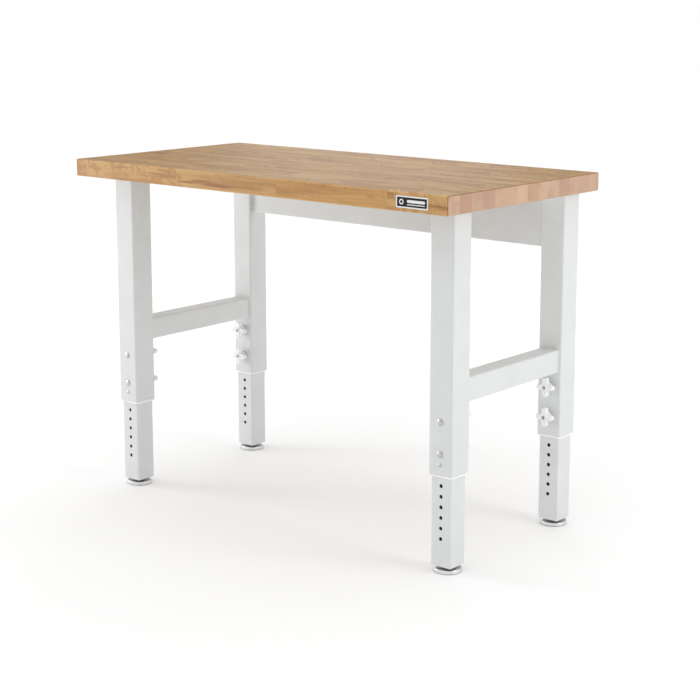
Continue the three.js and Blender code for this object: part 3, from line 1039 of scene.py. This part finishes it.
def foot_stations(outer, height):
    """The foot's profile: radius and height from its lower lip up to the rim of its socket."""
    wall = outer - 0.9 * MM
    wall_top = 7.4 * MM
    shoulder = 2.2 * MM
    socket_base = height - 0.5 * MM
    stations = [(outer - 2.4 * MM, 0), (outer - 1.0 * MM, 0.15 * MM), (outer - 0.25 * MM, 0.7 * MM),
                (outer, 1.5 * MM), (outer - 0.2 * MM, 2.2 * MM), (outer - 0.8 * MM, 2.6 * MM),
                (wall, 3.1 * MM), (wall, wall_top)]
    for turn in quarter_turns(6)[1:-1]:
        stations.append((wall - shoulder * (1 - math.cos(turn)), wall_top + shoulder * math.sin(turn)))
    crown_start, crown_base = stations[-1]
    for share in (0.2, 0.4, 0.6, 0.8):
        rise = (socket_base - crown_base) * math.sin(share / 0.8 * TURN / 4)
        stations.append((crown_start * (1 - share), crown_base + rise))
    return stations + [(8.6 * MM, socket_base), (8.3 * MM, height - 0.3 * MM), (8.0 * MM, height),
                       (6.2 * MM, height), (5.8 * MM, height - 0.3 * MM)]


def make_foot(leg):
    """A pressed and turned levelling foot: lower lip, plain wall, domed crown and a central socket."""
    node = f"foot_cup_{leg}"
    centre, size = middle(node), extent(node)
    loops = round_loops(foot_stations(size.x / 2, size.z), FOOT_POINTS)
    foot = Shape().skin(loops).made(f"levelling_foot_{leg}")
    foot.location = (centre.x, centre.y, 0)
    finish_piece(foot, f"foot_{leg}", [FOOT], [node])


def make_stud(leg):
    """The levelling stud: a thin hexagon collar under a threaded shank."""
    node = f"foot_stud_{leg}"
    centre = middle(node)
    low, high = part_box(node)
    across = extent(node).x * 0.86      # a little under cos 30 degrees, to keep the corners in the box
    collar_top = low.z + 2.1 * MM
    ease = 0.3 * MM
    shank = 5 * MM
    pitch = 1.5 * MM
    point = 1.0 * MM
    loops = round_loops([(0.46 * across, low.z), (hexagon(across), low.z + ease),
                         (hexagon(across), collar_top - ease), (0.46 * across, collar_top),
                         (shank, collar_top)])
    loops += thread_loops(shank, pitch, collar_top + 0.4 * MM, high.z - point)
    loops.append(round_loop(shank - point, high.z))
    stud = Shape().skin(loops).made(f"levelling_stud_{leg}")
    stud.location = (centre.x, centre.y, 0)
    finish_piece(stud, f"stud_{leg}", [ZINC], [node])


# ---- Camera, floor and light ----

def make_camera():
    data = bpy.data.cameras.new("camera")
    data.sensor_width = 36
    data.lens = CAMERA_LENS
    data.shift_y = CAMERA_SHIFT
    camera = bpy.data.objects.new("camera", data)
    camera.location = CAMERA_PLACE
    camera.rotation_euler = (TURN / 4 - CAMERA_DIP, 0, CAMERA_HEADING)
    bpy.context.scene.collection.objects.link(camera)
    bpy.context.scene.camera = camera


def make_floor():
    """A pale floor, partly lit from within so that it is white wherever nothing shades it.

    It hangs on a front foot, so that it stays under the feet when the legs are moved."""
    shape = Shape()
    corners = ((1, 1), (-1, 1), (-1, -1), (1, -1))
    shape.mesh.faces.new([shape.mesh.verts.new((x * FLOOR_HALF, y * FLOOR_HALF, 0)) for x, y in corners])
    floor = shape.made("floor")
    g = Graph("floor")
    g.feed("Base Color", colour(FLOOR_SHADE, FLOOR_SHADE, FLOOR_SHADE))
    g.feed("Roughness", 1.0)
    g.feed("Specular IOR Level", 0.0)
    x, y, _ = g.separate(g.coordinates())
    glow = g.remap(g.hypotenuse(x, y), *FLOOR_GLOW_DISTANCE, *FLOOR_GLOW, smooth=True)
    g.feed("Emission Color", colour(1.0, 1.0, 1.0))
    g.feed("Emission Strength", glow)
    floor.data.materials.append(g.material)
    floor.parent = frame["bodies"]["foot_front_right"]


def make_world():
    """A white room, as bright on each of its sides as ROOM says."""
    world = bpy.data.worlds.new("studio")
    world.use_nodes = True
    bpy.context.scene.world = world
    nodes, links = world.node_tree.nodes, world.node_tree.links

    def arithmetic(operation, one, other):
        node = nodes.new("ShaderNodeMath")
        node.operation = operation
        for socket, value in zip(node.inputs, (one, other)):
            if isinstance(value, bpy.types.NodeSocket):
                links.new(value, socket)
            else:
                socket.default_value = value
        return node.outputs[0]

    split = nodes.new("ShaderNodeSeparateXYZ")
    links.new(nodes.new("ShaderNodeTexCoord").outputs["Generated"], split.inputs[0])
    total = 0.0
    for (axis, sign), brightness in ROOM.items():
        towards = arithmetic("MAXIMUM", arithmetic("MULTIPLY", split.outputs[axis], sign), 0.0)
        share = arithmetic("MULTIPLY", towards, towards)
        total = arithmetic("ADD", total, arithmetic("MULTIPLY", share, brightness))
    strength = nodes.new("ShaderNodeMix")
    links.new(nodes.new("ShaderNodeLightPath").outputs["Is Camera Ray"], strength.inputs[0])
    links.new(total, strength.inputs[2])
    strength.inputs[3].default_value = 1.0
    background = nodes["Background"]
    background.inputs["Color"].default_value = colour(1.0, 1.0, 1.0)
    links.new(strength.outputs[0], background.inputs["Strength"])


def add_light(name, place, target, width, power):
    data = bpy.data.lights.new(name, "AREA")
    data.shape = "DISK"
    data.size = width
    data.energy = power
    light = bpy.data.objects.new(name, data)
    light.location = place
    light.rotation_mode = "QUATERNION"
    light.rotation_quaternion = (Vector(target) - Vector(place)).to_track_quat("-Z", "Y")
    light.visible_camera = False
    bpy.context.scene.collection.objects.link(light)


# ---- Assembly ----

make_camera()
make_floor()
make_world()
for softbox in SOFTBOXES:
    add_light(*softbox)
make_worktop()
make_name_plate()
make_rear_apron()
make_apron_screws()
for side in SIDES:
    make_side_rail(side)
    make_welds(side)
    make_top_plate(side)
    make_top_screws(side)
for leg in LEGS:
    make_upper_leg(leg)
    make_leg_guide(leg)
    make_index_screw(leg)
    make_lower_leg(leg)
    make_foot_insert(leg)
    make_foot(leg)
    make_stud(leg)
    for level in LEVELS:
        make_carriage_bolt(leg, level)
        make_washer(leg, level)
        make_knob(leg, level)

bpy.context.scene.view_settings.view_transform = "Standard"
